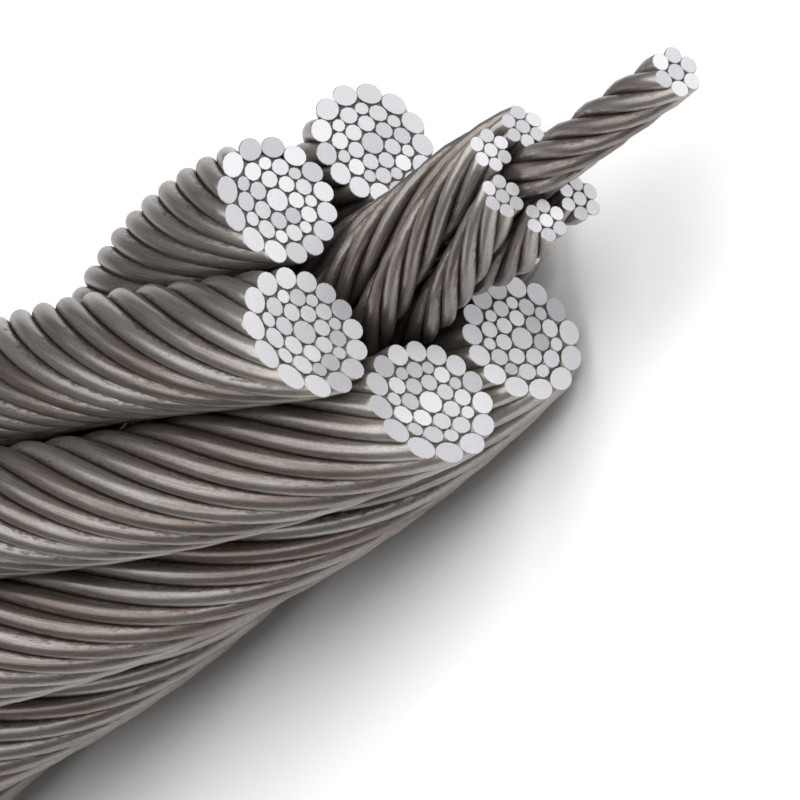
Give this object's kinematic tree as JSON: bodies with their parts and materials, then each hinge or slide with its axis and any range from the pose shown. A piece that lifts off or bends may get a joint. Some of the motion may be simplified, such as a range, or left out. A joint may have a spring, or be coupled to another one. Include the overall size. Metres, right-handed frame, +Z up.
{
  "type": "steel wire rope, 6x36 Warrington Seale, wire rope core, stepped end",
  "caption": "Length of heavy steel wire rope, right Lang lay, its front end cut back in steps to show the main strands, the core rope and the centre strand.",
  "frame": {"origin": "on the floor under the middle of the rope's length", "axes": "+X along the rope from its plain end to its stepped end, +Z up, as the rope lies on a level floor"},
  "size_m": [0.3048, 0.051, 0.0508],
  "materials": {
    "steel_wire": "drawn steel wire, dark grey-brown with dried lubricant, its cut ends ground bright"
  },
  "bodies": {
    "root": {"strand_1_outer_wires": "steel_wire", "strand_1_inner_wires": "steel_wire", "strand_2_outer_wires": "steel_wire", "strand_2_inner_wires": "steel_wire", "strand_3_outer_wires": "steel_wire", "strand_3_inner_wires": "steel_wire", "strand_4_outer_wires": "steel_wire", "strand_4_inner_wires": "steel_wire", "strand_5_outer_wires": "steel_wire", "strand_5_inner_wires": "steel_wire", "strand_6_outer_wires": "steel_wire", "strand_6_inner_wires": "steel_wire", "core_strand_1": "steel_wire", "core_strand_2": "steel_wire", "core_strand_3": "steel_wire", "core_strand_4": "steel_wire", "core_strand_5": "steel_wire", "core_strand_6": "steel_wire", "centre_strand": "steel_wire"}
  },
  "joints": []
}
